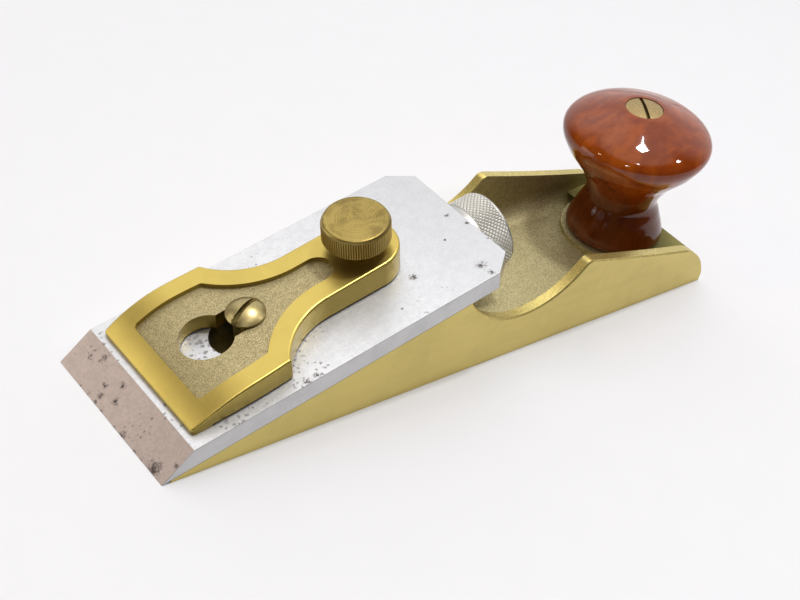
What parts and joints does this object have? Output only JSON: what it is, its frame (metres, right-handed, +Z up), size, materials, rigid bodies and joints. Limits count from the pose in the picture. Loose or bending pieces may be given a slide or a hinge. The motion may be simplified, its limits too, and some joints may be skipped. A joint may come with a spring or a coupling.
{
  "type": "hand plane",
  "caption": "Small bevel-up chisel plane with open front, cast bronze body, thick steel blade, waisted lever cap with thumbscrew, knurled adjuster wheel and turned wooden knob.",
  "frame": {"origin": "on the sole, halfway along the plane and on its centre line", "axes": "+X to the heel (knob end), +Y to the left of someone pushing the plane, +Z up; the cutting edge is at -X"},
  "size_m": [0.165, 0.0412, 0.0453],
  "materials": {
    "body_bronze": "satin ground bronze outside, as cast inside",
    "cap_bronze": "polished bronze with a sand-blasted recess",
    "blade_steel": "surface ground tool steel with small rust spots",
    "thumbscrew_brass": "turned brass, tarnished",
    "screw_brass": "turned brass",
    "wheel_steel": "bright knurled stainless steel",
    "stud_steel": "turned steel",
    "knob_wood": "glossy varnished cherry",
    "nut_brass": "dull tarnished brass"
  },
  "bodies": {
    "plane": {"body": "body_bronze", "adjuster_stud": "stud_steel", "knob": "knob_wood", "knob_stud": "stud_steel", "knob_nut": "nut_brass"},
    "blade": {"blade": "blade_steel"},
    "adjuster": {"adjuster_wheel": "wheel_steel"},
    "cap": {"lever_cap": "cap_bronze"},
    "cap_screw": {"lever_cap_screw": "screw_brass"},
    "thumbscrew": {"lever_cap_thumbscrew": "thumbscrew_brass"}
  },
  "joints": [
    {"name": "adjuster_spin", "type": "hinge", "parent": "blade", "child": "adjuster", "pos_m": [0.01261, 0, 0.01983], "axis": [-0.9659, 0, -0.2588], "range_deg": [-1440, 1080]},
    {"name": "blade_feed", "type": "slide", "parent": "plane", "child": "blade", "axis": [-0.9659, 0, -0.2588], "range_m": [-0.004, 0.003]},
    {"name": "lever_cap_slide", "type": "slide", "parent": "plane", "child": "cap", "axis": [0.9659, 0, 0.2588], "range_m": [0, 0.0098]},
    {"name": "thumbscrew_turn", "type": "hinge", "parent": "cap", "child": "thumbscrew", "pos_m": [-0.02479, 0, 0.02996], "axis": [-0.2588, 0, 0.9659], "range_deg": [0, 720]},
    {"name": "cap_screw_turn", "type": "hinge", "parent": "plane", "child": "cap_screw", "pos_m": [-0.0516, 0, 0.0176], "axis": [-0.2588, 0, 0.9659], "range_deg": [-180, 180]}
  ],
  "couplings": [
    {"joint": "blade_feed", "follows": "adjuster_spin", "m_per_rad": 0.00015915}
  ]
}
